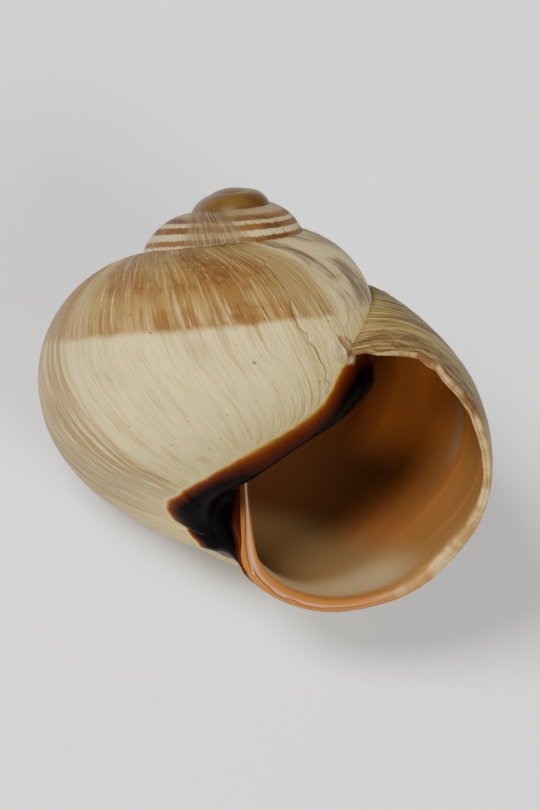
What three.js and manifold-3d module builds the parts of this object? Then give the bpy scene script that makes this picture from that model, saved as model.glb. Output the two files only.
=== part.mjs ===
// A globose land snail shell: one dextral coil, hollow, open at its mouth.
// Lengths are millimetres. Places along the coil are counted in turns, 0 at the lip and
// negative towards the apex. The coil is first worked out upright, with its axis on Z, its
// apex at the origin and its mouth towards -Y, and is then laid down on its back.
import * as THREE from 'three';
import { mergeVertices } from 'three/addons/utils/BufferGeometryUtils.js';
import Module from 'manifold-3d';

const wasm = await Module();
wasm.setup();

const rad = THREE.MathUtils.degToRad;

// Growth of the coil
const FIRST_TURN = -3.5;            // the tip of the embryonic whorl
const EXPANSION = 2.03;             // growth in size over one turn
const LATE_EXPANSION = 1.71;        // the same over the last half turn
const SLOWING_FROM = -0.65;
const SLOWING_OVER = 0.3;
const APEX_DEPTH = 0.68;            // the blunt top of the embryonic whorl under the coil's own apex
const DESCENT = 1.13;               // how far the coil has sunk below its own law at turn 0
const DESCENT_FROM = -0.8;
const DESCENT_POWER = 1.4;
const DROOP_FROM = 0.03;            // the last of the suture bends down more steeply
const DROOP = 270;

// Cross-section of a whorl, at the size it would have at turn 0 with no slowing
const RING = 5.63;                  // from the axis to the middle of the section
const DEPTH = 16.06;                // from the apex down to the middle of the section
const RADIUS = 10.25;
const SUTURE_ANGLE = rad(84);       // where the section tucks into the whorl before
const BASE_ANGLE = rad(-61);        // where the round side runs into the base
const BASE_EARLY = [[5.1, -28.2], [1.7, -30.7], [0.45, -27.0]];
const BASE_LATE = [[5.9, -27.6], [0.8, -24.8], [0.45, -21.1]];
const BASE_CHANGE_FROM = -0.45;
const AXIS_TOP = 0.45;              // the section's axis side stops at this share of its depth
const LIP_LEAD = 0.03;              // turns by which the lip's middle stands ahead of turn 0
const LIP_SLANT = 0.05;             // how much further ahead its upper half leans
const LIP_SWEEP = 0.07;             // and sweeps forward just under the suture
const LIP_TRAIL = 0.067;            // how far its base trails

// Walls
const WALL = 0.5;                   // at the lip, thinning with the square root of size
const HOLLOW_FROM = -2.25;
const PAST_LIP = 0.03;
const HOLLOW_TOP_ANGLE = rad(118);
const LIP_FOLD = 1.3;               // how much thicker, in walls, the lip is along its base
const LIP_FOLD_FROM = -0.12;
const PILLAR = 0.03;                // radius of the columella for each millimetre under the apex
const PILLAR_TIP = 0.06;            // and its radius at the top
const PILLAR_FOOT = 20.6;
const SEED = 0.9;                   // radius of the rounded seed at the apex
const SEED_FLATNESS = 0.4;

// How it lies: the apex leans back and to one side, so the mouth faces up
const LAY_SPIN = rad(25.1);
const LAY_BACK = rad(56.7);
const LAY_FACE = rad(44.1);
const WORN = 0.16;                  // rubbed off the back of the last whorl, a flat to rest on

// Facets
const PIECE = 0.25;                 // turns in one bent length of the coil
const STEPS = 5;                    // rings in each length
const ROUND_STEPS = 14;
const BASE_STEPS = 8;

function growth(turn) {
  const late = Math.max(0, turn - SLOWING_FROM);
  const eased = late < SLOWING_OVER ? late * late / (2 * SLOWING_OVER) : late - SLOWING_OVER / 2;
  return Math.exp(Math.log(EXPANSION) * turn - Math.log(EXPANSION / LATE_EXPANSION) * eased);
}

function descent(turn) {
  const sunk = Math.max(0, (turn - DESCENT_FROM) / -DESCENT_FROM);
  const blunt = Math.max(0, APEX_DEPTH - growth(turn) * (DEPTH - RADIUS));
  const droop = DROOP * Math.max(0, turn - DROOP_FROM) ** 2;
  return DESCENT * sunk ** DESCENT_POWER + droop + blunt;
}

// The closed outline of a section in its (outward, up) plane, from the suture round the
// outside and the base to the axis and back. `inset` is the wall left round a hollow.
function outline(turn, inset = 0) {
  const change = THREE.MathUtils.smoothstep(turn, BASE_CHANGE_FROM, 0);
  const [near, bend, axis] = BASE_EARLY.map((early, i) => new THREE.Vector2(...early)
    .lerp(new THREE.Vector2(...BASE_LATE[i]), change));
  const start = inset ? HOLLOW_TOP_ANGLE : SUTURE_ANGLE;
  const round = new THREE.EllipseCurve(RING, -DEPTH, RADIUS, RADIUS, start, BASE_ANGLE, true);
  const base = new THREE.CubicBezierCurve(round.getPoint(1), near, bend, axis);
  const walk = [[round, ROUND_STEPS], [base, BASE_STEPS]];
  const fold = LIP_FOLD * THREE.MathUtils.smoothstep(turn, LIP_FOLD_FROM, 0);
  const points = walk.flatMap(([curve, steps]) => Array.from({ length: steps }, (_, i) => {
    const point = curve.getPoint(i / steps);
    const along = curve.getTangent(i / steps);
    const low = THREE.MathUtils.smoothstep(-point.y - DEPTH, 0, RADIUS);
    return point.add(new THREE.Vector2(along.y, -along.x).multiplyScalar(inset * (1 + fold * low)));
  }));
  const side = axis.clone().addScalar(inset);
  return [...points, side, side.clone().multiplyScalar(AXIS_TOP)];
}

// Where a point of the section at `turn` stands on the coil. Its growth line slants, so the
// upper points of one section stand further on round the axis than its lower ones.
function onCoil(point, turn) {
  const height = (point.y + DEPTH) / RADIUS;
  const lean = height > 0 ? LIP_SLANT * height + LIP_SWEEP * height ** 8 : LIP_TRAIL * height;
  const at = turn + LIP_LEAD + lean;
  const size = growth(at);
  const azimuth = -2 * Math.PI * at;
  return new THREE.Vector3(size * point.x * Math.cos(azimuth),
    size * point.x * Math.sin(azimuth), size * point.y - descent(at));
}

function solid(geometry) {
  geometry.deleteAttribute('normal');
  geometry.deleteAttribute('uv');
  const merged = mergeVertices(geometry, 1e-5);
  return new wasm.Manifold(new wasm.Mesh({
    numProp: 3,
    vertProperties: new Float32Array(merged.attributes.position.array),
    triVerts: new Uint32Array(merged.index.array),
  }));
}

// One bent length of the coil, from turn `from` to turn `to`: a capped cylinder with each of
// its rings laid on the outline of its own section.
function length(from, to, wall = 0) {
  const sides = outline(from).length;
  const tube = new THREE.CylinderGeometry(1, 1, 1, sides, STEPS);
  const middle = new THREE.Vector2(RING, -DEPTH);
  const corner = new THREE.Vector3();
  const place = tube.attributes.position;
  for (let i = 0; i < place.count; i += 1) {
    corner.fromBufferAttribute(place, i);
    const turn = THREE.MathUtils.lerp(from, to, 0.5 - corner.y);
    const column = Math.round(Math.atan2(corner.x, corner.z) / (2 * Math.PI) * sides);
    const section = outline(turn, wall && wall / Math.sqrt(growth(turn)));
    const rim = Math.hypot(corner.x, corner.z) > 0.5;
    const spot = onCoil(rim ? section[(column + sides) % sides] : middle, turn);
    place.setXYZ(i, spot.x, spot.y, spot.z);
  }
  return solid(tube);
}

function turnsBetween(from, to) {
  const count = Math.round((to - from) / PIECE);
  return Array.from({ length: count }, (_, i) => [from + i * PIECE, from + (i + 1) * PIECE]);
}

function coil() {
  const filled = turnsBetween(FIRST_TURN, 0).map(([from, to]) => [to, length(from, to)]);
  const before = (turn) => filled.filter(([to]) => to < turn + 1e-6).map((entry) => entry[1])
    .reduce((whole, piece) => whole.add(piece));
  const profile = [[0, -PILLAR_FOOT], [PILLAR_TIP + PILLAR_FOOT * PILLAR, -PILLAR_FOOT],
    [PILLAR_TIP, -APEX_DEPTH - SEED_FLATNESS * SEED], [0, -APEX_DEPTH - SEED_FLATNESS * SEED]];
  const pillar = new THREE.LatheGeometry(profile.map((spot) => new THREE.Vector2(...spot)), 10);
  const seed = new THREE.SphereGeometry(SEED, 12, 8).scale(1, SEED_FLATNESS, 1);
  seed.translate(0, -APEX_DEPTH - SEED_FLATNESS * SEED, 0);
  const core = [pillar, seed].map((piece) => solid(piece.rotateX(Math.PI / 2)));
  const hollow = turnsBetween(HOLLOW_FROM, 0)
    .map(([from, to]) => length(from, to < -1e-6 ? to : PAST_LIP, WALL).subtract(before(to - 3 * PIECE)))
    .reduce((whole, piece) => whole.add(piece));
  return core.reduce((whole, piece) => whole.add(piece), before(0)).subtract(hollow);
}

function geometryOf(manifold) {
  const mesh = manifold.getMesh();
  const geometry = new THREE.BufferGeometry();
  geometry.setAttribute('position', new THREE.BufferAttribute(mesh.vertProperties, 3));
  geometry.setIndex(new THREE.BufferAttribute(mesh.triVerts, 1));
  return geometry;
}

// Lays the upright coil on its back and rubs a small flat where it touches the ground.
function laidDown(manifold) {
  const geometry = geometryOf(manifold).rotateZ(-LAY_SPIN).rotateX(-LAY_BACK).rotateZ(LAY_FACE);
  geometry.computeBoundingBox();
  const { min, max } = geometry.boundingBox;
  const ground = new THREE.BoxGeometry(max.x - min.x, max.y - min.y, 2 * WORN);
  ground.translate((min.x + max.x) / 2, (min.y + max.y) / 2, min.z);
  const worn = geometryOf(solid(geometry).subtract(solid(ground)));
  worn.computeBoundingBox();
  const middle = worn.boundingBox.getCenter(new THREE.Vector3());
  return worn.translate(-middle.x, -middle.y, -worn.boundingBox.min.z);
}

const horn = new THREE.MeshStandardMaterial({ color: '#d9c7a3', roughness: 0.45, metalness: 0 });
const shell = new THREE.Mesh(laidDown(coil()), horn);
shell.name = 'shell';

const snailShell = new THREE.Group();
snailShell.add(shell);

export default snailShell;
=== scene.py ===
# %% [markdown]
# # A land snail shell, one cell at a time
# A snail adds to its shell only at the lip. Every mark on the outside was once the lip, so nearly
# everything here is worked out in two numbers that follow the growth: how many turns along the
# coil a spot stands, and how far round the tube from the suture. The lesson starts by loading the
# plain CAD model of the same shell, which fixes the size, the place and how the shell lies.

# %% Load the frame
import math

import bmesh
import bpy
import numpy as np
from mathutils import Matrix, Vector


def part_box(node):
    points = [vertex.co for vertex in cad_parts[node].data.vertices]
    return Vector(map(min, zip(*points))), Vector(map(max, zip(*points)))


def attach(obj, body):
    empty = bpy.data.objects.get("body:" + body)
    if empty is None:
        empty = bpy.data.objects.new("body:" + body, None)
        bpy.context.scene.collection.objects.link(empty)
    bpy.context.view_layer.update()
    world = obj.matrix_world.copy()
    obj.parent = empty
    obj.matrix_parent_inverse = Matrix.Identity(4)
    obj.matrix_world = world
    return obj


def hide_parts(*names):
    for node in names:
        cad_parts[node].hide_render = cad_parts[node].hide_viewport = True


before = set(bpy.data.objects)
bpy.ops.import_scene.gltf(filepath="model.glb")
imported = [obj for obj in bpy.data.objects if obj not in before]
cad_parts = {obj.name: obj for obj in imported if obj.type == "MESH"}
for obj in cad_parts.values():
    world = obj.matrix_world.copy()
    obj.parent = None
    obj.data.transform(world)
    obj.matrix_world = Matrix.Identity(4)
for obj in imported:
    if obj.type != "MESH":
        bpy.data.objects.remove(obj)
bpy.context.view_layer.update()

MM = 0.001
shell_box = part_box("shell")

# %% [markdown]
# ## The law of growth
# A snail keeps its shape while it grows, so each whorl is a larger copy of the one before. That is
# a power law, and it could be drawn as a spiral curve with a bevel. A written law is chosen here
# because the last whorl breaks the rule: it grows more slowly and sinks below the coil, as in
# nearly every adult snail. Turns are counted backwards from the lip, which is turn 0.

# %% How large the tube is, and how far it has sunk, at each turn
EXPANSION, LATE_EXPANSION = 2.03, 1.71
SLOWING_FROM, SLOWING_OVER = -0.65, 0.3
APEX_DEPTH = 0.68
DESCENT, DESCENT_FROM, DESCENT_POWER = 1.13, -0.8, 1.4
DROOP_FROM, DROOP = 0.03, 270
RING, DEPTH, RADIUS = 5.63, 16.06, 10.25


def smooth(value, low, high):
    share = np.clip((value - low) / (high - low), 0, 1)
    return share * share * (3 - 2 * share)


def growth(turn):
    late = np.maximum(0, turn - SLOWING_FROM)
    eased = np.where(late < SLOWING_OVER, late**2 / (2 * SLOWING_OVER), late - SLOWING_OVER / 2)
    return np.exp(math.log(EXPANSION) * turn - math.log(EXPANSION / LATE_EXPANSION) * eased)


def descent(turn):
    sunk = np.maximum(0, (turn - DESCENT_FROM) / -DESCENT_FROM)
    blunt = np.maximum(0, APEX_DEPTH - growth(turn) * (DEPTH - RADIUS))
    droop = DROOP * np.maximum(0, turn - DROOP_FROM) ** 2
    return DESCENT * sunk**DESCENT_POWER + droop + blunt


print(f"the last half turn grows {growth(0) / growth(-0.5):.2f} times")

# %% [markdown]
# ## Growth lines that lean
# The lip isn't cut straight across the tube. Its upper part runs ahead, most of all just under the
# suture, and its base trails behind. Every growth line leans as the lip does, so the lean could be
# painted on. It is put into the shape instead, because the cracks, the ridges and the mouth's own
# edge then all follow it.

# %% Stand a spot of the section on the coil
LEAD, SLANT, SWEEP, TRAIL = 0.03, 0.05, 0.07, 0.067


def stand_on_coil(outward, up, turn):
    """Places a spot of a whorl's section on the coil. The growth line leans, as the lip does."""
    height = (up + DEPTH) / RADIUS
    lean = np.where(height > 0, SLANT * height + SWEEP * np.maximum(height, 0) ** 8, TRAIL * height)
    at = turn + LEAD + lean
    size, azimuth = growth(at), -2 * math.pi * at
    return np.stack([size * outward * np.cos(azimuth), size * outward * np.sin(azimuth),
                     size * up - descent(at)], -1)


for count in (-3, -2, -1, 0):
    print(f"turn {count}: {growth(count):.3f} of the last section")

# %% [markdown]
# ## The section of the tube
# Cut across, a whorl is a round tube that is open where it leans on the whorl before. The wall
# starts at the suture, runs round the outside, turns under the base and climbs the axis. One
# number, the walk, goes 0 to 1 round the outside, 1 to 2 under the base and 2 to 3 up the axis.
# The wall has to end inside the wall of the whorl before, so the start of the walk is searched
# for at each turn.

# %% The walk round a section
BASE_ANGLE = math.radians(-61)
BASE_EARLY = np.array([[5.1, -28.2], [1.7, -30.7], [0.45, -27.0]])
BASE_LATE = np.array([[5.9, -27.6], [0.8, -24.8], [0.45, -21.1]])
BASE_CHANGE_FROM, AXIS_TOP = -0.45, 0.45
LIP_FOLD, LIP_FOLD_FROM = 1.3, -0.12
WALL = 0.5
print(f"a wall at full size would be {WALL} mm thick")


def section(turn, walk, start, inset):
    """Spots of the section, moved inwards by inset, which is in units of the last section."""
    share = smooth(turn, BASE_CHANGE_FROM, 0)[..., None]
    near, bend, axis = ((1 - share) * early + share * late
                        for early, late in zip(BASE_EARLY, BASE_LATE))
    angle = start + (BASE_ANGLE - start) * np.minimum(walk, 1)
    spot = np.stack([RING + RADIUS * np.cos(angle), -DEPTH + RADIUS * np.sin(angle)], -1)
    along = np.stack([np.sin(angle), -np.cos(angle)], -1)
    end = np.array([RING + RADIUS * math.cos(BASE_ANGLE), -DEPTH + RADIUS * math.sin(BASE_ANGLE)])
    t = np.clip(walk - 1, 0, 1)[..., None]
    curve = (1 - t)**3 * end + 3 * t * (1 - t)**2 * near + 3 * t * t * (1 - t) * bend + t**3 * axis
    slope = 3 * ((1 - t)**2 * (near - end) + 2 * t * (1 - t) * (bend - near) + t * t * (axis - bend))
    slope /= np.linalg.norm(slope, axis=-1, keepdims=True)
    base = (walk > 1)[..., None]
    spot, along = np.where(base, curve, spot), np.where(base, slope, along)
    low = smooth(-spot[..., 1] - DEPTH, 0, RADIUS)
    fold = 1 + LIP_FOLD * smooth(turn, LIP_FOLD_FROM, 0) * low * (inset > 0.05)
    inwards = np.stack([along[..., 1], -along[..., 0]], -1)
    spot = spot + inwards * (inset * fold)[..., None]
    climb = np.clip(walk - 2, 0, 1)[..., None]
    side = axis + np.maximum(inset, 0)[..., None]
    return np.where(climb > 0, side * (1 - climb * (1 - AXIS_TOP)), spot), angle


# %% [markdown]
# ## Where the wall begins
# At the suture each whorl is cemented on to the one before. A wall that only touched it would leave
# a crack of light, so it is sunk a little way in. The place could be set by hand for one whorl. A
# table of angles is searched instead, because it moves as the coil sinks.

# %% Find the start of the walk
def tucked_start(turn, inset, bury):
    """The angle at which each section has sunk by bury into the whorl before."""
    angle = np.radians(np.linspace(60, 160, 401))[None, :]
    outward = RING + (RADIUS - inset[:, None]) * np.cos(angle)
    up = -DEPTH + (RADIUS - inset[:, None]) * np.sin(angle)
    height = (up + DEPTH) / RADIUS
    at = turn[:, None] + LEAD + SLANT * height + SWEEP * np.maximum(height, 0) ** 8
    size, before = growth(at), growth(at - 1)
    r, z = size * outward, size * up - descent(at)
    gap = np.hypot(r - before * RING, z + before * DEPTH + descent(at - 1)) - before * RADIUS
    buried = gap < -bury[:, None]
    return angle[0, np.where(buried.any(1), buried.argmax(1), 240)]


first_angle = tucked_start(np.array([-1.0]), np.array([0.0]), np.array([0.1]))[0]
print(f"one turn back the wall starts at {math.degrees(first_angle):.0f} degrees")

# %% [markdown]
# ## Uneven ridges
# The outside isn't smooth. It carries fine uneven ridges, each one an old lip. They could be left to
# a bump texture, but the coarse ones catch the light at the outline, so they are made in the mesh. A
# few seeded tables of random numbers give ridges with uneven spacing that fade in and out.

# %% Smooth random patches
def patches(x, y, seed):
    """Smooth random patches from -1 to 1, one unit across."""
    table = np.random.default_rng(seed).uniform(-1, 1, (256, 256))
    i, j = np.floor(x).astype(int), np.floor(y).astype(int)
    u, v = x - i, y - j
    u, v = u * u * (3 - 2 * u), v * v * (3 - 2 * v)
    i, j = i % 256, j % 256
    k, l = (i + 1) % 256, (j + 1) % 256
    return ((table[i, j] * (1 - u) + table[k, j] * u) * (1 - v)
            + (table[i, l] * (1 - u) + table[k, l] * u) * v)


print("a patch:", patches(np.array([0.5]), np.array([0.5]), 3).round(2))


# %% Ridges with uneven spacing
def ridges(along, across, spacing, seed):
    """Uneven ridges, 0 in the grooves and up to 1 on the crests."""
    random = np.random.default_rng(seed)
    marks = np.cumsum(random.uniform(0.4, 1.6, 2000) * spacing) - 2 * spacing
    height = random.uniform(0.25, 1, 2000)
    spot = along + 0.35 * spacing * patches(along / 9, across / 3, seed + 1)
    k = np.clip(np.searchsorted(marks, spot), 1, 1999)
    share = (spot - marks[k - 1]) / (marks[k] - marks[k - 1])
    return height[k] * np.sin(math.pi * np.clip(share, 0, 1) ** 0.7)


turns = np.linspace(-5, 0.05, 4000)
steps = 2 * math.pi * (RING + RADIUS) * growth(turns) ** 0.75 * (turns[1] - turns[0])
length_table = np.cumsum(steps)
print(f"the coil is {length_table[-1]:.0f} mm long on its outside")

# %% [markdown]
# ## A grid for the wall
# The whole wall is one sheet: a grid whose rows are growth lines and whose columns follow the
# coil. Each row first walks the outside of a section and then comes back along the inside, so its
# two ends meet and close the wall. A screw modifier can't widen or sink as it turns, so the grid is
# bent with the law itself. The rows stand closer together near the tip, where the whorls are small.

# %% A row for each growth line
HALF = 58
GROWTH_LINES = 806
CURL = 6
ring_turns = np.interp(np.linspace(0, 1, GROWTH_LINES), [0, 0.05, 0.15, 0.39, 1], [-5, -3.2, -2, -1, 0])
RINGS = len(ring_turns) + 2 * CURL

grown = bmesh.new()
bmesh.ops.create_grid(grown, x_segments=RINGS - 1, y_segments=2 * HALF, size=1)
column = np.array([[vert.co.x, vert.co.y] for vert in grown.verts])
ring = np.rint((column[:, 0] + 1) / 2 * (RINGS - 1)).astype(int)
place_round = np.rint((column[:, 1] + 1) / 2 * 2 * HALF).astype(int) % (2 * HALF)

print(f"{len(grown.verts)} corners in {RINGS} rows")

# %% Where each row and column stands
walks = np.interp(np.arange(HALF), [0, 34, 52, HALF - 1], [0, 1, 2, 3])
turn_of = ring_turns[np.clip(np.arange(RINGS) - CURL, 0, len(ring_turns) - 1)][:, None]
walk_of = np.broadcast_to(walks, (RINGS, HALF))
size_of = growth(turn_of)
length_of = np.interp(turn_of, turns, length_table)

wall = WALL / np.sqrt(size_of)
bury = 0.5 * WALL * np.sqrt(growth(turn_of[:, 0] - 1))
outer_start = tucked_start(turn_of[:, 0], 0 * bury, bury)[:, None]
inner_start = tucked_start(turn_of[:, 0], wall[:, 0], bury)[:, None]
turn_grid = np.broadcast_to(turn_of, (RINGS, HALF))
along_grid = np.broadcast_to(length_of, (RINGS, HALF))
thickness = wall * size_of
print(f"the wall is {thickness.min():.2f} to {thickness.max():.2f} mm thick")

# %% [markdown]
# ## Wear, glaze and cracks
# An adult shell is never whole. Its upper lip flakes, the body leaves a dark glaze on the belly
# beside the mouth, and two old cracks have healed over. Each could be painted alone, but the shape
# and the finish both need it, so each is a small function of the turn and the walk.

# %% How far the upper lip has broken back
def edge_wear(turn, walk):
    """How far the worn lip has broken back, in turns."""
    upper = 1 - smooth(walk, 0.2, 0.5)
    jag = smooth(patches(walk * 40, 0 * walk, 31), -0.1, 0.6)
    jag = jag + 0.5 * smooth(patches(walk * 110, 0 * walk, 5), 0, 0.5)
    return (0.0042 * upper + 0.0016 * (1 - smooth(walk, 0.8, 1.1))) * jag * smooth(turn, -0.012, 0)


print(f"up to {edge_wear(turn_grid, walk_of).max() * 360:.1f} degrees of the coil")

# %% The edge of the glaze
GLAZE_EDGE = np.array([[-1.5, 3.0], [-1.3, 0.64], [-0.94, 0.62], [-0.905, 0.63], [-0.88, 0.73],
                       [-0.856, 0.88], [-0.80, 1.07], [-0.75, 1.15], [-0.70, 1.21], [-0.645, 1.245],
                       [-0.60, 1.255], [-0.545, 1.27], [-0.515, 1.31], [-0.49, 1.38], [-0.468, 1.50],
                       [-0.42, 1.60], [-0.30, 1.66], [-0.18, 1.68], [-0.12, 2.0], [-0.06, 3.0]])


def glaze(turn, walk):
    """Millimetres inside the edge of the dark glaze, which spreads from the mouth."""
    edge = np.interp(turn, *GLAZE_EDGE.T)
    reach = growth(turn) * (26 - 12 * smooth(edge, 0.9, 1.25))
    return (walk - edge) * reach + 0.09 * patches(turn * 40, walk * 8, 12)


print(f"half a turn back the glaze starts at walk {np.interp(-0.5, *GLAZE_EDGE.T):.2f}")


# %% Two old cracks
def cracks(along, walk):
    """Millimetres ahead of each of two old cracks, which follow the growth lines."""
    first = np.interp(walk, [0, 0.1, 0.38, 0.5, 0.6, 0.86], [104.6, 104.8, 105.8, 106.0, 105.7, 105.6])
    second = np.interp(walk, [0, 0.03, 0.26, 0.42, 0.6], [99.0, 99.3, 102.2, 101.1, 102.9])
    shake = 0.25 * patches(walk * 30, 0 * walk, 21) + 0.1 * patches(walk * 90, 0 * walk, 22)
    return along - first - shake, along - second + shake


print("cracks at the suture:", *(f"{-crack:.1f} mm" for crack in cracks(0.0, np.float64(0.0))))

# %% [markdown]
# ## Relief of the outside
# The height of the outside above the smooth coil is a sum: ridges, steps where growth rested, a
# lifted rim beside each crack, a puckered scar, a crust where the lip meets the belly, and the
# glaze, which lies over the ridges and smooths them. Sculpting could do this once, but a sum can
# be read and changed one term at a time.

# %% Ridges, and the places where growth rested
REST_MARKS = ((123.4, 1.6, 0.10), (60.5, 0.0, 0.05), (131.5, 2.6, 0.06))


def growth_relief(turn, walk, along):
    """Height of the growth lines, in millimetres."""
    across = walk * 16
    grown_up = smooth(turn, -2.4, -1.6)
    coarse = ridges(along, across, 1.3, 3) * (0.6 + 0.7 * patches(along / 6, across / 6, 4))
    fine = ridges(along, across, 0.55, 7) * (0.5 + 0.6 * patches(along / 4, across / 4, 8))
    rolled = smooth(walk, 0.8, 1.1) * smooth(turn, -0.06, -0.02)
    height = (0.05 * coarse + 0.035 * fine - 0.04) * grown_up
    height = height * (1 - smooth(walk, 1.5, 2)) * (1 - rolled)
    near_lip = smooth(turn, -0.2, -0.05) * (1 - smooth(walk, 0.5, 0.8))
    height += 0.05 * near_lip * ridges(along, across, 0.45, 9)
    for place, swing, depth in REST_MARKS:
        mark = along - place - swing * np.maximum(walk - 0.6, 0) + 0.2 * patches(walk * 9, 0 * walk, 41)
        height += depth * (smooth(mark, -0.25, 0) - 1) * smooth(mark, -2.5, -0.25) * (walk < 1.7)
    return height


print("ridges up to", growth_relief(turn_grid, walk_of, along_grid).max().round(3), "mm")

# %% Cracks, a scar and a crust
SCAR_ALONG, SCAR_WALK = 109.9, 0.17
CRUST_TURN, CRUST_WALK = -0.897, 0.632


def scar_relief(turn, walk, along):
    """Height that old wounds add, in millimetres."""
    first, second = cracks(along, walk)
    height = 0.03 * smooth(first, -0.05, 0.1) * (1 - smooth(first, 0.1, 1.2)) * (walk < 0.9)
    height += 0.03 * smooth(second, -0.05, 0.1) * (1 - smooth(second, 0.1, 1.0)) * (walk < 0.6)
    side, down = (along - SCAR_ALONG) * 0.85, (walk - SCAR_WALK) * 14
    away = np.hypot(side, down)
    rays = np.sin(np.arctan2(down, side) * 9 + 3 * patches(away, along, 51))
    height += 0.13 * np.exp(-(away / 0.45)**2) + 0.035 * rays * np.exp(-(away / 1.6)**2)
    tip = np.hypot((turn - CRUST_TURN) * 48, (walk - CRUST_WALK) * 13)
    return height + (0.30 + 0.10 * patches(turn * 260, walk * 60, 61)) * np.exp(-(tip / 0.62)**2)


print("scars up to", scar_relief(turn_grid, walk_of, along_grid).max().round(3), "mm")


# %% The glaze and the rolled base of the lip
def relief(turn, walk, along):
    """Height of the outside above the smooth coil, in millimetres."""
    height = growth_relief(turn, walk, along) + scar_relief(turn, walk, along)
    coat = smooth(glaze(turn, walk), 0, 2.4)
    thick = 0.35 + 0.75 * smooth(turn, -1.0, -0.93) * (1 - smooth(turn, -0.78, -0.6))
    height = height * (1 - 0.9 * coat) + thick * coat * (1 - smooth(walk, 1.7, 2))
    roll = 0.12 * smooth(walk, 1.0, 1.4) + 0.2 * smooth(walk, 1.55, 1.8)
    return height + roll * smooth(turn, -0.12, -0.01) * (1 - smooth(walk, 1.9, 2))


height_of = relief(turn_grid, walk_of, along_grid)
print("relief from", height_of.min().round(2), "to", height_of.max().round(2), "mm")


# %% [markdown]
# ## Where the last whorl leaves the law
# This shell stands a little fuller than the law at its shoulder and on its belly, is pinched beside
# the navel, and flares along the base of its lip. Both faces of the wall move together, so that it
# keeps its thickness. A lattice could pull it about, but it would pull the earlier whorls too.

# %% Fuller and narrower places
def fullness(turn, walk):
    """How far the last whorl swells beyond the law, both faces together."""
    shoulder = smooth(turn, -0.5, -0.3) * (1 - smooth(turn, -0.2, -0.05)) * (1 - smooth(walk, 0.2, 0.5))
    navel = np.exp(-((turn + 0.31) / 0.06)**2 - ((walk - 1.52) / 0.22)**2)
    belly = (0.3 * np.exp(-((turn + 0.57) / 0.06)**2 - ((walk - 1.0) / 0.25)**2)
             + 0.3 * np.exp(-((turn + 0.42) / 0.07)**2 - ((walk - 1.08) / 0.2)**2))
    flare = smooth(turn, -0.12, -0.01) * smooth(walk, 0.75, 1.0) * (1 - smooth(walk, 1.75, 2.0))
    return 0.45 * shoulder - 0.5 * navel + belly + 0.26 * flare


fuller = fullness(turn_grid, walk_of) / size_of
print("off the law by", fuller.min().round(2), "to", fuller.max().round(2), "mm at full size")

# %% [markdown]
# ## Both faces of the wall
# The outside and the inside are the same walk, one a wall's thickness within the other. A Solidify
# modifier would give an even wall, but the real one thins towards the tip and thickens along the
# base of the lip, so each face is placed by itself. A third, smooth face is kept to place the shell
# by, because the ridges shouldn't shift it.

# %% Stand both faces on the coil
plain, _ = section(turn_grid, walk_of, outer_start, 0 * wall)
plain = stand_on_coil(plain[..., 0], plain[..., 1], turn_grid).reshape(-1, 3)
turn_worn = turn_grid - edge_wear(turn_grid, walk_of)
outside, angle_out = section(turn_worn, walk_of, outer_start, -height_of / size_of - fuller)
inside, angle_in = section(turn_worn, walk_of, inner_start, wall - fuller)
outside = stand_on_coil(outside[..., 0], outside[..., 1], turn_worn)
inside = stand_on_coil(inside[..., 0], inside[..., 1], turn_worn)

print("outside reaches", np.abs(outside).max().round(2), "mm from the apex")

# %% [markdown]
# ## A rounded lip and a closed tip
# The rows past either end curl the two faces together round the middle of the wall. That rounds the
# lip, and it leaves no open edge. A Bevel could round a sharp lip, but it would have to find its
# edges among thousands, and these rows are already in the right place.

# %% Curl the ends of the wall
middle, half = (outside + inside) / 2, (outside - inside) / 2
onward = middle[-CURL - 1] - middle[-CURL - 6]
onward /= np.linalg.norm(onward, axis=-1, keepdims=True)
for k in range(CURL):
    bend = (k + 1) / CURL * math.pi / 2
    last = RINGS - CURL + k
    out = onward * np.minimum(np.linalg.norm(half[last], axis=-1, keepdims=True), 0.3) * math.sin(bend)
    outside[last] = middle[last] + half[last] * math.cos(bend) + out
    inside[last] = middle[last] - half[last] * math.cos(bend) + out
    outside[CURL - 1 - k] = middle[0] + half[0] * math.cos(bend)
    inside[CURL - 1 - k] = middle[0] - half[0] * math.cos(bend)
row = np.concatenate([outside, inside[:, ::-1]], 1)
print(f"{len(grown.verts)} corners in {RINGS} growth lines")

# %% [markdown]
# ## What each spot of the wall knows about itself
# The finishes need to know where they are: how far along the growth, how far round, whether they
# are inside, and how close the lip is. These numbers are worked out with the shape and stored on
# the corners as attributes, so that every pattern follows the coil. A spot that has no crack near
# it is simply said to be far from one.

# %% Store the coil's own coordinates on the corners
FAR = 50
LIP_LENGTH = length_table[np.searchsorted(turns, 0)]
along_row = np.broadcast_to(length_of, (RINGS, 2 * HALF))
around = np.concatenate([walk_of, walk_of[:, ::-1]], 1)
within = np.concatenate([np.zeros((RINGS, HALF)), np.ones((RINGS, HALF))], 1)
angle_row = np.degrees(np.concatenate([angle_out, angle_in[:, ::-1]], 1))
to_lip = LIP_LENGTH - along_row
glaze_half = glaze(turn_grid, walk_of)
glaze_row = np.concatenate([glaze_half, glaze_half[:, ::-1]], 1)
crack_row = [np.concatenate([crack, crack[:, ::-1] + FAR], 1)
             for crack in cracks(along_grid, walk_of)]
print(f"the lip is {LIP_LENGTH:.1f} mm along the coil")

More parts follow.
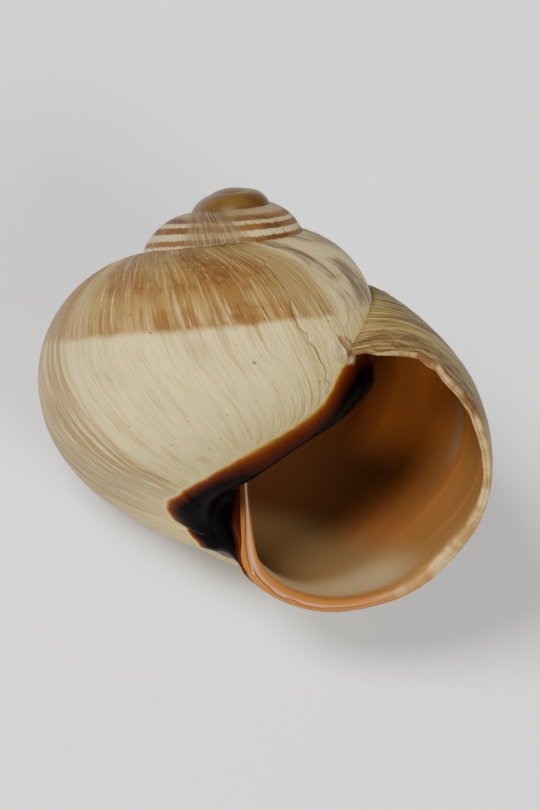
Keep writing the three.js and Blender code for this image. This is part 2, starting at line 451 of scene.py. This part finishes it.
# %% Give every corner its place and its facts
corner = row[ring, place_round]
for vert, spot in zip(grown.verts, corner):
    vert.co = spot
coil_layer = grown.verts.layers.float_vector.new("coil")
wall_layer = grown.verts.layers.float_vector.new("wall")
mark_layer = grown.verts.layers.float_vector.new("marks")
facts = np.stack([along_row, around, angle_row], -1)[ring, place_round]
walls = np.stack([within, to_lip, np.broadcast_to(turn_of, along_row.shape)], -1)[ring, place_round]
marks = np.stack([glaze_row, *crack_row], -1)[ring, place_round]
for vert, fact, side, mark in zip(grown.verts, facts, walls, marks):
    vert[coil_layer] = Vector(fact)
    vert[wall_layer] = Vector(side)
    vert[mark_layer] = Vector(mark)

print("facts of the last corner:", [round(value, 2) for value in facts[-1]])

# %% [markdown]
# ## Close and soften the wall
# The ends of every row meet, so their corners are merged and the wall is closed. The base of the
# lip is the smoothest part of the shell, because the animal slid over it, so its last rows are
# eased with the smooth operator.

# %% Merge the doubles and ease the base of the lip
LIP_EASING = 12
bmesh.ops.remove_doubles(grown, verts=grown.verts, dist=1e-5)
bmesh.ops.recalc_face_normals(grown, faces=grown.faces)
lip_roll = [vert for vert in grown.verts if vert[wall_layer].y < 1.2 and vert[coil_layer].y > 1.0]
for _ in range(LIP_EASING):
    bmesh.ops.smooth_vert(grown, verts=lip_roll, factor=0.5, use_axis_x=True, use_axis_y=True,
                          use_axis_z=True)
print(f"{len(grown.verts)} corners after merging, "
      f"{sum(edge.is_boundary for edge in grown.edges)} open edges")

# %% [markdown]
# ## The columella and the cap
# Inside the coil the walls meet on the axis in a solid pillar, the columella: a slender cone that
# widens with the whorls. The tip of the coil grew inside the egg. It is worn to a smooth cap that
# hides its own first turns, so a squashed ball is laid over them. Both join the same mesh.

# %% A helper that joins a part to the wall
def add_part(part, facts_of):
    """Joins a closed part to the wall, with the facts that its finish needs."""
    for name, rows in zip(("coil", "wall", "marks"), zip(*facts_of)):
        layer = part.verts.layers.float_vector.new(name)
        for vert, fact in zip(part.verts, rows):
            vert[layer] = Vector(fact)
    join(part)


def join(part):
    mesh = bpy.data.meshes.new("part")
    part.to_mesh(mesh)
    part.free()
    grown.from_mesh(mesh)
    bpy.data.meshes.remove(mesh)


print("parts will join", len(grown.verts), "corners")

# %% The pillar
PILLAR, PILLAR_TIP, PILLAR_FOOT = 0.03, 0.06, 17.0
pillar = bmesh.new()
bmesh.ops.create_cone(pillar, cap_ends=True, segments=24, radius1=PILLAR_TIP + PILLAR_FOOT * PILLAR,
                      radius2=PILLAR_TIP, depth=PILLAR_FOOT - 1,
                      matrix=Matrix.Translation((0, 0, -(PILLAR_FOOT + 1) / 2)))
add_part(pillar, [((vert.co.x, 2.0, 60), (1, 30, -1), (9, FAR, FAR)) for vert in pillar.verts])
print(f"{len(grown.faces)} faces with the pillar")

# %% The worn cap
CAP_TOP, CAP_REACH, CAP_RISE, CAP_SIDE = -0.63, 1.95, 1.35, -0.1
cap = bmesh.new()
bmesh.ops.create_uvsphere(cap, u_segments=40, v_segments=20, radius=1)
bmesh.ops.scale(cap, vec=(CAP_REACH, CAP_REACH, CAP_RISE), verts=cap.verts)
bmesh.ops.translate(cap, vec=(CAP_SIDE, 0, CAP_TOP - CAP_RISE), verts=cap.verts)
add_part(cap, [((vert.co.x, 0.2, 60), (0, 30, -4), (-9, FAR, FAR)) for vert in cap.verts])
print(f"{len(grown.faces)} faces with the cap")

# %% [markdown]
# ## The glaze over the navel
# Where the lip returns to the axis it spreads over the open navel in a dark glossy pad, hollow in
# its middle and rolled up into the lip. A grid is bent into it: one side lies on the base of the
# last whorl, the other on the crest of the lip, and a curve with two handles joins them. Its back
# is a second grid a little deeper, bridged to the first so that the pad is closed.

# %% The pad's two sides
PAD_BASE = np.array([[-0.80, 1.22], [-0.73, 1.31], [-0.65, 1.36], [-0.58, 1.40], [-0.52, 1.46],
                     [-0.46, 1.60], [-0.38, 1.72], [-0.30, 1.76], [-0.22, 1.78], [-0.14, 1.78]])
PAD_LIP = np.array([2.55, 2.40, 2.29, 2.20, 2.12, 2.05, 1.98, 1.91, 1.84, 1.78])
PAD_ROWS, PAD_STEPS = 48, 24
PAD_THICKNESS = 0.25
lip_ring = outside[-CURL - 1, :40]
mouth_front = np.linalg.svd(lip_ring - lip_ring.mean(0))[2][2]
mouth_front *= -np.sign(mouth_front[1])
print("the mouth faces", np.round(mouth_front, 3))


# %% Find a place on the wall
def on_wall(turn, walk, sheet):
    """Where the wall made above stands at this turn and walk."""
    rows = np.interp(turn, turn_of[CURL:-CURL, 0], np.arange(CURL, RINGS - CURL))
    cols = np.interp(walk, walks, np.arange(HALF))
    i, j = np.minimum(rows.astype(int), RINGS - 2), np.minimum(cols.astype(int), HALF - 2)
    u, v = (rows - i)[:, None], (cols - j)[:, None]
    return ((sheet[i, j] * (1 - u) + sheet[i + 1, j] * u) * (1 - v)
            + (sheet[i, j + 1] * (1 - u) + sheet[i + 1, j + 1] * u) * v)


print("middle of the base, half a turn back:",
      on_wall(np.array([-0.5]), np.array([1.5]), outside).round(2))


# %% Bend the pad
def bend_pad(part):
    knots = np.linspace(0, 1, len(PAD_LIP))
    grid = np.array([[vert.co.x, vert.co.y] for vert in part.verts]) / 2 + 0.5
    down, over = grid[:, 0], grid[:, 1][:, None]
    base_turn, base_walk = (np.interp(down, knots, PAD_BASE[:, i]) for i in (0, 1))
    start = on_wall(base_turn, base_walk, outside)
    crest = np.interp(np.interp(down, knots, PAD_LIP), walks, np.arange(HALF))
    k = np.minimum(crest.astype(int), HALF - 2)
    share = (crest - k)[:, None]
    end = outside[-3][k] * (1 - share) + outside[-3][k + 1] * share
    across = end - start
    first = start + 0.40 * across - mouth_front * 0.30
    second = end - 0.30 * across + mouth_front * 0.30
    curve = ((1 - over)**3 * start + 3 * over * (1 - over)**2 * first
             + 3 * over**2 * (1 - over) * second + over**3 * end)
    edge = np.minimum(np.minimum(over, 1 - over)[:, 0], np.minimum(down, 1 - down))
    lift = 0.05 - 0.2 * (1 - smooth(edge, 0, 0.06))
    for vert, spot, height in zip(part.verts, curve, lift):
        vert.co = spot + mouth_front * height
    return down, over[:, 0]


pad = bmesh.new()
bmesh.ops.create_grid(pad, x_segments=PAD_ROWS, y_segments=PAD_STEPS, size=1)
down, over = bend_pad(pad)
print(f"{len(pad.verts)} corners in the pad's face")

# %% Give the pad its facts, a back and a rim
pad_coil = pad.verts.layers.float_vector.new("coil")
pad_wall = pad.verts.layers.float_vector.new("wall")
pad_marks = pad.verts.layers.float_vector.new("marks")
depth = 2.6 - smooth(over, 0.30, 1.0) * (1.8 + 0.3 * smooth(down, 0.2, 0.7))
for vert, d, o, g in zip(pad.verts, down, over, depth):
    vert[pad_coil] = Vector((166 + 4 * o, 1.3 + 0.4 * d, -61))
    vert[pad_wall] = Vector((0, 30, -0.4))
    vert[pad_marks] = Vector((g, FAR, FAR))
under = bmesh.ops.duplicate(pad, geom=pad.faces[:])["geom"]
bmesh.ops.reverse_faces(pad, faces=[part for part in under if isinstance(part, bmesh.types.BMFace)])
bmesh.ops.translate(pad, vec=Vector(-PAD_THICKNESS * mouth_front),
                    verts=[part for part in under if isinstance(part, bmesh.types.BMVert)])
bmesh.ops.bridge_loops(pad, edges=[edge for edge in pad.edges if edge.is_boundary])
bmesh.ops.recalc_face_normals(pad, faces=pad.faces)
join(pad)
print(f"{len(grown.faces)} faces with the pad")

# %% [markdown]
# ## Lay the shell down
# An empty shell this shape rolls on to its back. The coil was worked out upright, so it is turned
# three times, as the CAD model is, rubbed flat where it touches the ground, and moved so that it
# fills the same box as the CAD node.

# %% Turn, move and rub
LAY_SPIN, LAY_BACK, LAY_FACE = 25.1, 56.7, 44.1
lay = (Matrix.Rotation(math.radians(LAY_FACE), 3, "Z")
       @ Matrix.Rotation(math.radians(-LAY_BACK), 3, "X")
       @ Matrix.Rotation(math.radians(-LAY_SPIN), 3, "Z"))
bmesh.ops.rotate(grown, cent=(0, 0, 0), matrix=lay, verts=grown.verts)
bmesh.ops.scale(grown, vec=(MM, MM, MM), verts=grown.verts)
laid = plain @ np.array(lay).T * MM
low, high = laid.min(0), laid.max(0)
box_low, box_high = np.array(shell_box[0]), np.array(shell_box[1])
move = (box_low + box_high) / 2 - (low + high) / 2
move[2] = box_high[2] - high[2]
bmesh.ops.translate(grown, vec=Vector(move), verts=grown.verts)
for vert in grown.verts:
    vert.co.z = max(vert.co.z, 0)
print("moved by", np.round(move / MM, 3), "mm")

# %% Make the object
shell_mesh = bpy.data.meshes.new("snail_shell")
grown.to_mesh(shell_mesh)
grown.free()
for face in shell_mesh.polygons:
    face.use_smooth = True
shell = bpy.data.objects.new("snail_shell", shell_mesh)
bpy.context.scene.collection.objects.link(shell)
print(f"{len(shell_mesh.polygons)} faces in the shell")

# %% [markdown]
# ## Writing finishes as sums
# A finish is a graph of nodes. Drawing it by hand is slow to read, so a small class wraps a
# socket, and sums and products of sockets then add the Math nodes by themselves.

# %% A socket that can be added and multiplied
class Reading:
    def __init__(self, finish, socket):
        self.finish, self.socket = finish, socket

    def _maths(self, operation, first, second=0.0):
        return self.finish.node("ShaderNodeMath", {"operation": operation}, {0: first, 1: second})

    def __add__(self, other):
        return self._maths("ADD", self, other)

    def __mul__(self, other):
        return self._maths("MULTIPLY", self, other)

    def __sub__(self, other):
        return self._maths("SUBTRACT", self, other)

    def __rsub__(self, other):
        return self._maths("SUBTRACT", other, self)

    def __abs__(self):
        return self._maths("ABSOLUTE", self)

    __radd__, __rmul__ = __add__, __mul__


print("sums of sockets are ready")


# %% A material that is written one line at a time
class Finish:
    """A material being written."""

    def __init__(self, name, roughness, **constants):
        self.material = bpy.data.materials.new(name)
        self.material.use_nodes = True
        self.tree = self.material.node_tree
        self.shader = self.tree.nodes["Principled BSDF"]
        self.shader.inputs["Roughness"].default_value = roughness
        for socket, value in constants.items():
            self.shader.inputs[socket.replace("_", " ")].default_value = value

    def node(self, kind, settings=None, values=None, output=0):
        made = self.tree.nodes.new(kind)
        for name, value in (settings or {}).items():
            if name == "stops":
                while len(made.color_ramp.elements) < len(value):
                    made.color_ramp.elements.new(0.5)
                for stop, (place, colour) in zip(made.color_ramp.elements, value):
                    stop.position, stop.color = place, (*colour, 1)
            else:
                setattr(made, name, value)
        for name, value in (values or {}).items():
            if isinstance(value, Reading):
                self.tree.links.new(value.socket, made.inputs[name])
            else:
                made.inputs[name].default_value = value
        return Reading(self, made.outputs[output])

    def mix(self, first, second, share, blend="MIX"):
        first, second = ((*c, 1) if isinstance(c, tuple) else c for c in (first, second))
        return self.node("ShaderNodeMix", {"data_type": "RGBA", "blend_type": blend},
                         {0: share, 6: first, 7: second}, output=2)

    def step(self, value, low, high):
        return self.node("ShaderNodeMapRange", {"interpolation_type": "SMOOTHSTEP"},
                         {"Value": value, "From Min": low, "From Max": high})

    def noise(self, vector, scale, detail=2.0, roughness=0.5):
        return self.node("ShaderNodeTexNoise", {"noise_dimensions": "3D"},
                         {"Vector": vector, "Scale": scale, "Detail": detail, "Roughness": roughness})

    def vector(self, x, y, z):
        return self.node("ShaderNodeCombineXYZ", None, {0: x, 1: y, 2: z})

    def attribute(self, name):
        vector = self.node("ShaderNodeAttribute", {"attribute_name": name}, output=1)
        return [self.node("ShaderNodeSeparateXYZ", None, {0: vector}, output=i) for i in range(3)]

    def give(self, socket, value):
        self.tree.links.new(value.socket, self.shader.inputs[socket])


print("a finish has one method for any node, and short ones for the common nodes")

# %% [markdown]
# ## The finish of the wall
# The outside is chalky and satin, the inside is glossy. It is one material, because it is one
# growth, and the facts stored on the corners say where each colour belongs. Four noises are shared:
# they are stretched along the growth lines, from broad clouds down to hairs and flecks. Painting
# by hand would look right from one side only, and the shell is seen from all round.

# %% Read the facts, and make the shared noises
shellwork = Finish("snail_shell_wall", 0.42, Specular_IOR_Level=0.25, IOR=1.5)
along, walk, degrees = shellwork.attribute("coil")
indoors, lip_distance, turn = shellwork.attribute("wall")
glaze_depth, crack_one, crack_two = shellwork.attribute("marks")
step, mix = shellwork.step, shellwork.mix


def coil_noise(per_length, per_walk, depth, detail, roughness):
    """A noise counted along the coil and round the tube."""
    place = shellwork.vector(along * per_length, walk * per_walk, depth)
    return shellwork.noise(place, 1.0, detail, roughness)


broad = coil_noise(0.28, 3.0, 1.0, 3.0, 0.55)
streak = coil_noise(1.5, 1.8, 0.0, 4.0, 0.65)
hair = coil_noise(3.4, 3.0, 3.0, 4.0, 0.7)
fleck = coil_noise(2.2, 34.0, 8.0, 2.0, 0.5)

print("facts:", ", ".join(attribute.name for attribute in shell_mesh.attributes)[:60])

# %% [markdown]
# ## Cream below, tan above
# On the last whorl the ground is cream below a fairly sharp edge. Above it lie two blurred brown
# bands, broken up by streaks where the animal laid down more or less colour. The bands are steps on
# the angle round the tube, so that they run along the coil without a seam.

# %% Cream, tan and hair lines
edge = degrees + (hair - 0.5) * 6 + (broad - 0.5) * 3
tan_zone = step(edge, 12.5, 17.5)
cream = mix((0.66, 0.52, 0.20), (0.44, 0.29, 0.09), step(streak, 0.5, 0.68) * 0.9)
cream = mix(cream, (0.34, 0.20, 0.07), step(broad, 0.52, 0.75) * 0.45)
bands = step(edge, 12, 17) * step(edge, 31, 25) + step(edge, 34, 40) * step(edge, 58, 50)
tan = mix((0.35, 0.215, 0.055), (0.22, 0.108, 0.023), step(broad, 0.40, 0.6))
tan = mix(tan, (0.19, 0.078, 0.014), step(streak, 0.46, 0.60) * (0.35 + 0.6 * bands))
tan = mix(tan, (0.13, 0.047, 0.008), step(fleck, 0.52, 0.64) * step(broad, 0.42, 0.6) * bands * 0.7)
outer = mix(cream, tan, tan_zone)
faded = step(along, 119.6, 121.2) * step(along, 123.5, 122.8)
outer = mix(outer, (0.52, 0.37, 0.13), faded * tan_zone * 0.5)
outer = mix(outer, (0.64, 0.50, 0.22), step(hair, 0.54, 0.66) * (0.55 + 0.10 * tan_zone))
outer = mix(outer, (0.20, 0.095, 0.026), step(hair, 0.48, 0.36) * (0.25 + 0.50 * tan_zone))
ribs = step(coil_noise(1.1, 1.2, 12.0, 2.0, 0.5), 0.60, 0.66)
outer = mix(outer, (0.20, 0.09, 0.022), ribs * step(walk, 0.9, 0.2) * 0.6)

print("the tan zone starts at about 15 degrees")

# %% [markdown]
# ## Colours that change with age
# The animal changed its food and its pace. Past a rest mark the wall is darker, just behind the
# mouth the whorl is paler with purple blotches, and the last of it is olive, crossed by pale and
# dark lines that are partly its own growth lines and partly the painted light and shade of its
# fine ribs. These are steps on the distance and the turn, softened by the hair noise so that no
# edge is ruled.

# %% Later growth
later = step(along, 123.1, 123.9) * step(walk, 1.5, 0.9)
outer = mix(outer, (0.24, 0.14, 0.045), later * step(hair, 0.66, 0.46) * 0.9)
front = step(turn, -0.845, -0.88) * step(turn, -1.2, -1.0)
outer = mix(outer, (0.36, 0.24, 0.09), front * tan_zone * step(turn, -0.92, -0.90) * 0.6)
outer = mix(outer, (0.68, 0.53, 0.24), front * tan_zone * step(turn, -0.90, -0.925) * 0.85)
before_mouth = step(turn, -0.89, -0.92) * step(turn, -1.15, -1.0)
purple = step(broad, 0.46, 0.58) * step(hair, 0.64, 0.50) * before_mouth
outer = mix(outer, (0.10, 0.045, 0.03), purple * tan_zone * 0.85)
olive = step(turn, -0.3, -0.16)
# Pale and dark lines on the olive: partly its own colour, partly painted light and shade of the fine
# ribs.
olive_with_rib_shade = mix((0.46, 0.33, 0.10), (0.10, 0.055, 0.013), step(hair, 0.44, 0.58))
outer = mix(outer, olive_with_rib_shade, olive * step(walk, 0.62, 0.4) * 0.85)

print("the later growth starts 123 mm along")

# %% [markdown]
# ## The spire
# The young shell had three clear brown bands with white lines between them. One stretch has lost
# its skin and is grey and streaked, and the cap is worn to a glossy brown.

# %% Bands, a worn stretch and the cap
spire = step(turn, -1.35, -1.5) * step(turn, -2.5, -2.4)
band_brown = mix((0.20, 0.088, 0.015), (0.12, 0.040, 0.006), step(broad, 0.45, 0.6))
ragged = degrees + (hair - 0.5) * 9
white_line = (step(abs(ragged - 48), 3.8, 2.0) + step(abs(ragged - 32.5), 4.8, 2.8)
              + step(abs(ragged - 19), 4.0, 2.5) + step(ragged, 57, 66) * 0.6)
banded = mix(band_brown, (0.56, 0.44, 0.21), white_line * step(hair, 0.30, 0.50))
banded = mix(banded, (0.40, 0.28, 0.11), step(hair, 0.62, 0.72) * 0.5)
worn = step(abs(turn + 1.76 + (broad - 0.5) * 0.06), 0.085, 0.05)
worn_tone = mix((0.16, 0.095, 0.04), (0.36, 0.27, 0.14), step(hair, 0.47, 0.68))
banded = mix(banded, worn_tone, worn * 0.8)
outer = mix(outer, banded, spire)
cap_tone = mix((0.125, 0.068, 0.014), (0.085, 0.04, 0.009), step(broad, 0.4, 0.65))
outer = mix(outer, cap_tone, step(turn, -2.3, -2.42))

print("the spire ends about 1.4 turns back")

# %% [markdown]
# ## Dark lines, specks and scars
# The rest mark and the cracks are drawn as darker lines, the pits as dark specks, and brown veins run
# through the healed scar. The cracks' own distances are stored on the corners, so the lines lie exactly
# in them.

# %% Rest mark, cracks, veins and specks
rest = step(abs(along - 123.2 - step(walk, 0.6, 1.6) * 3), 0.3, 0.05) * step(walk, 1.4, 1.2)
outer = mix(outer, (0.33, 0.20, 0.09), rest * 0.5)
crack_line = (step(abs(crack_one), 0.07, 0.02) * step(walk, 0.9, 0.8)
              + step(abs(crack_two), 0.07, 0.02) * step(walk, 0.62, 0.5))
outer = mix(outer, (0.24, 0.12, 0.04), crack_line * step(hair, 0.35, 0.55) * 0.55)
scar_side, scar_down = along - SCAR_ALONG, walk - SCAR_WALK
from_scar = scar_side * scar_side * 0.6 + scar_down * scar_down * 150
veins = shellwork.node("ShaderNodeTexVoronoi", {"feature": "DISTANCE_TO_EDGE"}, {
    "Vector": shellwork.vector(along * 1.5, walk * 30, 0.0), "Scale": 1.0})
healed = step(veins, 0.14, 0.05) * step(from_scar, 3.4, 1.0)
outer = mix(outer, (0.15, 0.06, 0.015), healed * 0.8)
specks = step(coil_noise(2.6, 40, 9.0, 0.0, 0.5), 0.80, 0.86)
outer = mix(outer, (0.10, 0.05, 0.02), specks * 0.8)

print("the scar is", SCAR_ALONG, "mm along")

# %% [markdown]
# ## The dark glaze
# The glaze is thin at its edge and thick inside, so it runs from golden through orange and red
# brown to nearly black. A colour ramp on the millimetres inside its edge gives this. Where the lip
# meets the belly a pale crust lies over it.

# %% A ramp from golden to black, and the crust
GLAZE_REACH = 2.9
glaze_tone = shellwork.node("ShaderNodeValToRGB", {"stops": [
    (0.0, (0.58, 0.45, 0.18)), (0.09, (0.38, 0.20, 0.028)), (0.18, (0.17, 0.058, 0.005)),
    (0.30, (0.10, 0.018, 0.003)), (0.48, (0.042, 0.007, 0.0018)), (0.8, (0.0012, 0.0006, 0.0004))]},
    {0: glaze_depth * (1 + step(turn, -0.84, -0.89) * 0.8 + step(turn, -0.78, -0.62) * 1.1)
     * (1 / GLAZE_REACH)})
on_glaze = step(glaze_depth, -0.25, 0.35)
outer = mix(outer, (0.14, 0.038, 0.008), step(turn, -0.07, -0.02) * step(walk, 1.35, 1.6))
outer = mix(outer, glaze_tone, on_glaze)
crust_side, crust_down = turn + 0.899, walk - 0.625
from_tip = crust_side * crust_side * 2200 + crust_down * crust_down * 170
tip_crust = step(from_tip + (hair - 0.5) * 0.6, 0.95, 0.4)
outer = mix(outer, mix((0.26, 0.14, 0.045), (0.52, 0.40, 0.19), step(hair, 0.36, 0.56)), tip_crust)
print("the glaze is darkest", GLAZE_REACH * 0.8, "mm in")

# %% [markdown]
# ## The lining
# Inside, the wall is polished. It is pale at the lip, orange brown further in and nearly black
# in the depths, except along the base, where it is a milky grey brown, painted paler as it catches
# the lamp. The depths are dark mostly because little light gets there, so the ramp is brighter in
# the middle than it looks. Painted shade darkens the side wall under the upper lip, and a pale
# streak across it is a painted highlight.

# %% A ramp from the lip inwards
LINING_REACH = 22
lining = shellwork.node("ShaderNodeValToRGB", {"stops": [
    (0.0, (0.34, 0.18, 0.055)), (0.08, (0.26, 0.13, 0.042)), (0.22, (0.22, 0.10, 0.028)),
    (0.40, (0.33, 0.125, 0.034)), (0.58, (0.85, 0.29, 0.075)), (0.69, (0.62, 0.20, 0.05)),
    (0.78, (0.17, 0.046, 0.012))]},
    {0: lip_distance * (1 / LINING_REACH)})
bands_inside = coil_noise(0.30, 0.9, 15.0, 2.0, 0.5)
dark_bands = step(bands_inside, 0.42, 0.66) * step(lip_distance, 9, 14)
lining = mix(lining, (0.15, 0.042, 0.014), dark_bands * 0.7)
# Painted shade: the side wall that the upper lip keeps from the lamp is darkened here.
painted_shade = step(walk, 0.50, 0.70) * step(lip_distance, 6, 14)
lining = mix(lining, (0.115, 0.040, 0.014), painted_shade)
# Along the base the lining is its own milky grey brown, painted paler still as the light the base
# catches.
base_side = step(walk, 0.84, 1.0)
base_tone_and_painted_light = mix((0.20, 0.125, 0.055), (0.32, 0.20, 0.08), step(lip_distance, 10, 16))
base_tone_and_painted_light = mix(base_tone_and_painted_light, (0.34, 0.25, 0.13), step(lip_distance, 8, 4))
lining = mix(lining, base_tone_and_painted_light, base_side * step(lip_distance, 0.8, 2.5) * 0.85)
# Painted highlight: a pale streak where the polished wall reflects the lamp.
painted_highlight_line = step(abs(lip_distance - 9.3 + walk * 1.5), 0.9, 0.3) * step(abs(walk - 0.47), 0.17, 0.08)
lining = mix(lining, (0.34, 0.22, 0.11), painted_highlight_line * 0.45)
lip_lines = step(abs(lip_distance - 7.2), 0.4, 0.1) + step(abs(lip_distance - 3.6), 0.35, 0.05)
lining = mix(lining, (0.40, 0.14, 0.03), lip_lines * step(walk, 0.95, 0.7) * 0.6)

print("the lining's ramp is", LINING_REACH, "mm long")

# %% [markdown]
# ## The lip
# The lip itself is worn. Above, it flakes in thin layers that run along its edge, yellowish and
# brown. Along the base it is smooth and orange brown. Small crumbs in object space roughen the
# flakes, because the coil's own numbers are stretched there.

# %% Layers, flakes and the smooth base
lip_edge = step(lip_distance, 0.9, 0.25)
crumbs = shellwork.node("ShaderNodeTexNoise", None, {
    "Vector": shellwork.node("ShaderNodeTexCoord", output=3), "Scale": 1500.0, "Detail": 5.0,
    "Roughness": 0.65})
layers = coil_noise(4.5, 13, 21.0, 4.0, 0.65)
crumbled = step(layers + (crumbs - 0.5) * 0.5, 0.40, 0.62)
smooth_lip = mix((0.30, 0.16, 0.05), (0.50, 0.33, 0.13), crumbled)
smooth_lip = mix(smooth_lip, (0.30, 0.11, 0.022), step(walk, 0.80, 1.15))
smooth_lip = mix(smooth_lip, (0.11, 0.03, 0.006), step(walk, 1.85, 2.2))
flaking = lip_distance - step(walk, 0.36, 0.10) * 1.5 + (streak - 0.5) * 2.0 + (crumbs - 0.5)
flaked = step(flaking, 1.7, 1.3)
flaked = flaked * step(walk, 0.5, 0.36)
flake_tone = mix((0.10, 0.042, 0.012), (0.40, 0.26, 0.10), step(layers, 0.44, 0.64))
whole = mix(outer, lining, indoors)
whole = mix(whole, smooth_lip, lip_edge)
whole = mix(whole, flake_tone, flaked * (1 - indoors) * 0.8)
shellwork.give("Base Color", whole)
print("the colour is done")

# %% [markdown]
# ## Gloss and fine grain
# A dark glaze shows every reflection, and the wall's own reflections would turn it grey. So the
# glaze gets a shader of its own with a weaker reflection, and a Mix Shader lays it over the other
# by the glaze's edge. The lining and the base of the lip are the glossiest, the outside the
# least. Grain too fine for the mesh goes into a bump.

# %% A second shader for the glaze
dark_gloss = shellwork.node("ShaderNodeBsdfPrincipled", None, {
    "Base Color": glaze_tone, "Roughness": 0.28, "Specular IOR Level": 0.03, "IOR": 1.5})
in_dark = on_glaze * (1 - indoors) * (1 - tip_crust)
both = shellwork.node("ShaderNodeMixShader", None, {
    0: in_dark, 1: Reading(shellwork, shellwork.shader.outputs[0]), 2: dark_gloss})
shellwork.tree.links.new(both.socket, shellwork.tree.nodes["Material Output"].inputs[0])

print("two shaders are mixed")

# %% Roughness and bump
gloss = 0.50 - on_glaze * (1 - indoors) * 0.34 - indoors * 0.24 - step(turn, -2.3, -2.42) * 0.1
rounded = lip_edge * step(walk, 1.0, 1.2)
lip_gloss = (lip_edge - rounded) * 0.25 - rounded * (1 - indoors) * 0.2
shellwork.give("Roughness", gloss + lip_gloss + tip_crust * 0.2)
ripple = coil_noise(8.0, 3.0, 5.0, 3.0, 0.6)
matt = (1 - indoors) * (1 - on_glaze) * step(turn, -2.42, -2.3)
grain = (ripple + hair * 0.6 - crack_line * 1.2) * matt + crumbs * (flaked + tip_crust) * 2.0
bump = shellwork.node("ShaderNodeBump", None, {"Strength": 0.9, "Distance": 0.00022, "Height": grain})
shellwork.give("Normal", bump)
shell_mesh.materials.append(shellwork.material)
print(f"{len(shellwork.tree.nodes)} nodes in the wall's finish")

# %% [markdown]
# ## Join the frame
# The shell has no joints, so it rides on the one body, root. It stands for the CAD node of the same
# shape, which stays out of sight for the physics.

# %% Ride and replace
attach(shell, "root")
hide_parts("shell")
print("riding on root:", shell.name)

# %% [markdown]
# ## The floor
# A plain pale floor shows the shell's outline and takes a soft shadow. A curved backdrop isn't
# needed, because the camera looks down on the floor and never sees its far edge.

# %% Floor
FLOOR_SIZE = 6
ground = bmesh.new()
bmesh.ops.create_grid(ground, x_segments=1, y_segments=1, size=FLOOR_SIZE / 2)
floor_mesh = bpy.data.meshes.new("floor")
ground.to_mesh(floor_mesh)
ground.free()
floor = bpy.data.objects.new("floor", floor_mesh)
bpy.context.scene.collection.objects.link(floor)
pale = Finish("pale_floor", 0.8)
pale.shader.inputs["Base Color"].default_value = (0.92, 0.92, 0.91, 1)
floor_mesh.materials.append(pale.material)
print("the floor is", FLOOR_SIZE, "m across")

# %% [markdown]
# ## The camera
# The camera looks straight into the shell's own front through a long lens, as for a museum plate, so
# it stands square to the shell and not to the floor. Its directions are worked out upright, tilted
# a little, and then laid down with the shell.

# %% Camera
tilt, nod = math.radians(1), math.radians(4)
across_view, up_view = Vector((1, 0, 0)), Vector((0, math.sin(nod), math.cos(nod)))
view_right = lay @ (math.cos(tilt) * across_view + math.sin(tilt) * up_view)
view_up = lay @ (math.cos(tilt) * up_view - math.sin(tilt) * across_view)
view_back = view_right.cross(view_up)
VIEW_SIDE, VIEW_DROP, FRAME_WIDTH = 1.803, 12.90, 0.03042
middle_of_view = Vector(move) + (VIEW_SIDE * view_right - VIEW_DROP * view_up) * MM
lens = bpy.data.cameras.new("camera")
lens.type, lens.sensor_fit, lens.sensor_width, lens.lens = "PERSP", "HORIZONTAL", 36, 1000
lens.clip_end = 20
distance = FRAME_WIDTH * lens.lens / lens.sensor_width
camera = bpy.data.objects.new("camera", lens)
turned = Matrix((view_right, view_up, view_back)).transposed().to_4x4()
camera.matrix_world = Matrix.Translation(middle_of_view + view_back * distance) @ turned
bpy.context.scene.collection.objects.link(camera)
bpy.context.scene.camera = camera
print(f"camera {distance:.2f} m away")

# %% [markdown]
# ## Light
# One large soft lamp from the upper left models the whorls, a weaker one opposite opens the mouth's
# shadow, and a dim white world keeps the rest from going black. They could stay fixed to the floor,
# but they are placed from the camera's own directions, because the shell's front is tilted.

# %% Lamps
LAMP_DISTANCE = 0.6


def soft_light(name, direction, size, power):
    lamp = bpy.data.lights.new(name, "AREA")
    lamp.shape, lamp.size, lamp.energy = "DISK", size, power
    lit = bpy.data.objects.new(name, lamp)
    right, up, back = direction
    towards = (view_right * right + view_up * up + view_back * back).normalized()
    lit.location = towards * LAMP_DISTANCE
    lit.rotation_euler = towards.to_track_quat("Z", "Y").to_euler()
    bpy.context.scene.collection.objects.link(lit)


soft_light("window", (-0.30, 0.40, 0.87), 0.25, 5.2)
soft_light("fill", (0.45, -0.25, 0.86), 0.3, 3.0)
print("two lamps,", LAMP_DISTANCE, "m away")

# %% World
WORLD_STRENGTH = 0.06
world = bpy.data.worlds.new("studio")
bpy.context.scene.world = world
world.use_nodes = True
background = world.node_tree.nodes["Background"]
background.inputs["Color"].default_value = (1, 1, 1, 1)
background.inputs["Strength"].default_value = WORLD_STRENGTH
print("world strength", WORLD_STRENGTH)
